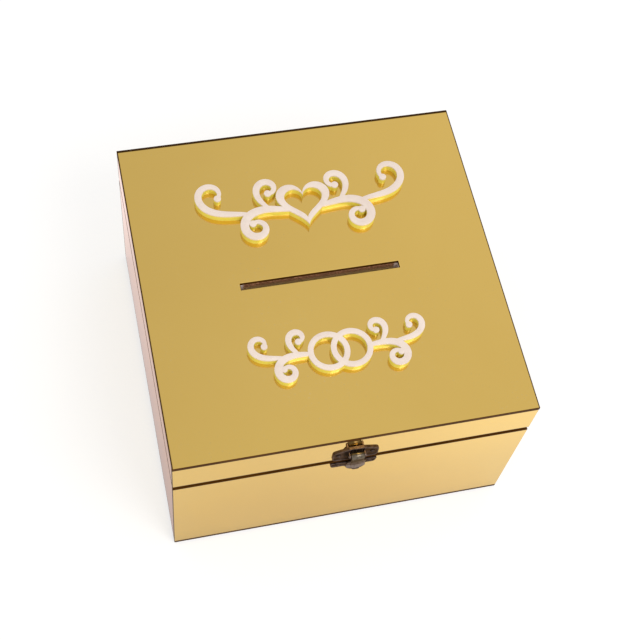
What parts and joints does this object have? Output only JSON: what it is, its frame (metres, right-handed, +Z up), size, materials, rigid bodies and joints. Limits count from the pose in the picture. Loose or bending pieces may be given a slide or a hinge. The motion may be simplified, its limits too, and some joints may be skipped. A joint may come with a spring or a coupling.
{
  "type": "hinged card box",
  "caption": "Square hinged box clad in gold mirror sheet, with a card slot in the lid, raised white and yellow ornaments on top and a small bronze tongue latch on the front.",
  "frame": {"origin": "centre of the box's underside, on the surface it stands on", "axes": "+Z up, +X to the right and +Y to the back, with the latch on the -Y side and the hinges on the +Y side"},
  "size_m": [0.25, 0.261, 0.1558],
  "materials": {
    "gold_mirror": "polished",
    "stained_board": "satin",
    "antique_bronze": "satin",
    "white_acrylic": "gloss",
    "yellow_acrylic": "gloss"
  },
  "bodies": {
    "base": {"floor_panel": "stained_board", "base_front_board": "stained_board", "base_front_mirror": "gold_mirror", "base_back_board": "stained_board", "base_back_mirror": "gold_mirror", "base_left_board": "stained_board", "base_left_mirror": "gold_mirror", "base_right_board": "stained_board", "base_right_mirror": "gold_mirror", "left_hinge_base_leaf": "antique_bronze", "left_hinge_pin": "antique_bronze", "right_hinge_base_leaf": "antique_bronze", "right_hinge_pin": "antique_bronze", "hinge_base_screws": "antique_bronze", "latch_catch_plate": "antique_bronze", "latch_catch_nails": "antique_bronze"},
    "lid": {"lid_top_board": "stained_board", "lid_top_mirror": "gold_mirror", "lid_front_board": "stained_board", "lid_front_mirror": "gold_mirror", "lid_back_board": "stained_board", "lid_back_mirror": "gold_mirror", "lid_left_board": "stained_board", "lid_left_mirror": "gold_mirror", "lid_right_board": "stained_board", "lid_right_mirror": "gold_mirror", "left_hinge_lid_leaf": "antique_bronze", "right_hinge_lid_leaf": "antique_bronze", "hinge_lid_screws": "antique_bronze", "latch_lid_plate": "antique_bronze", "latch_lid_nails": "antique_bronze", "latch_pin": "antique_bronze", "upper_ornament_backing": "yellow_acrylic", "upper_ornament_face": "white_acrylic", "lower_ornament_backing": "yellow_acrylic", "lower_ornament_face": "white_acrylic"},
    "latch_tongue": {"latch_tongue": "antique_bronze"}
  },
  "joints": [
    {"name": "lid_hinge", "type": "hinge", "parent": "base", "child": "lid", "pos_m": [0, 0.1269, 0.1147], "axis": [-1, 0, 0], "range_deg": [0, 180]},
    {"name": "latch_pivot", "type": "hinge", "parent": "lid", "child": "latch_tongue", "pos_m": [-0.0008, -0.1293, 0.1297], "axis": [-1, 0, 0], "range_deg": [0, 150]}
  ]
}
